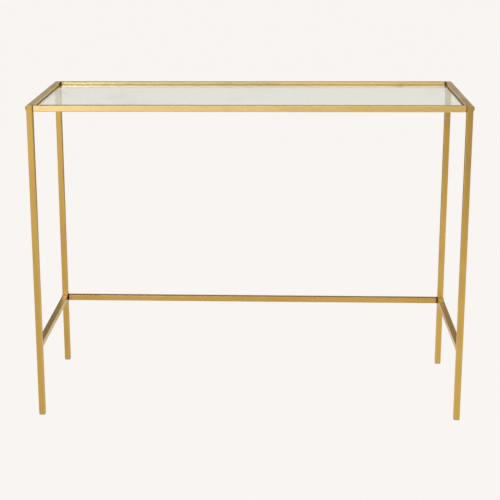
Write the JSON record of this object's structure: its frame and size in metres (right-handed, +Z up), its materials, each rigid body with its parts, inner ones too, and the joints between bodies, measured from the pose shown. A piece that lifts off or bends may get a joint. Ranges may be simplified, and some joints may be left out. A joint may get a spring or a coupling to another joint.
{
  "type": "dressing table",
  "caption": "Slim rectangular dressing table: gold square-tube frame, inset loose glass top, low stretchers at the back and sides, open knee space in front.",
  "frame": {"origin": "on the floor, in the middle of the table", "axes": "+X along the width to the user's right, +Y towards the back, +Z up"},
  "size_m": [1.0448, 0.42, 0.776],
  "materials": {
    "gold_tube": "satin gold-coloured plating on steel tube, fine lengthwise brushing",
    "gold_bolt": "satin gold-coloured plating on steel, slightly darker than the tube",
    "zinc_steel": "bright zinc plating on steel, hidden inside the rails",
    "clear_glass": "clear polished glass with a faint green tint at the edges",
    "clear_pad": "clear soft pad, slightly frosted",
    "glide_plastic": "pale beige moulded plastic, matt"
  },
  "bodies": {
    "frame": {"left_front_leg": "gold_tube", "left_back_leg": "gold_tube", "right_front_leg": "gold_tube", "right_back_leg": "gold_tube", "left_top_rail": "gold_tube", "right_top_rail": "gold_tube", "left_lower_stretcher": "gold_tube", "right_lower_stretcher": "gold_tube", "front_top_rail": "gold_tube", "back_top_rail": "gold_tube", "back_stretcher": "gold_tube", "front_left_glass_tab": "gold_tube", "front_right_glass_tab": "gold_tube", "back_left_glass_tab": "gold_tube", "back_right_glass_tab": "gold_tube", "front_left_bumper": "clear_pad", "front_right_bumper": "clear_pad", "back_left_bumper": "clear_pad", "back_right_bumper": "clear_pad", "left_front_glide": "glide_plastic", "left_back_glide": "glide_plastic", "right_front_glide": "glide_plastic", "right_back_glide": "glide_plastic", "front_top_rail_left_bolt": "gold_bolt", "front_top_rail_right_bolt": "gold_bolt", "back_top_rail_left_bolt": "gold_bolt", "back_top_rail_right_bolt": "gold_bolt", "back_stretcher_left_bolt": "gold_bolt", "back_stretcher_right_bolt": "gold_bolt", "front_top_rail_left_insert": "zinc_steel", "front_top_rail_right_insert": "zinc_steel", "back_top_rail_left_insert": "zinc_steel", "back_top_rail_right_insert": "zinc_steel", "back_stretcher_left_insert": "zinc_steel", "back_stretcher_right_insert": "zinc_steel"},
    "glass": {"glass_top": "clear_glass"}
  },
  "joints": [
    {"name": "glass_lift", "type": "slide", "parent": "frame", "child": "glass", "axis": [0, 0, 1], "range_m": [0, 0.06]}
  ]
}
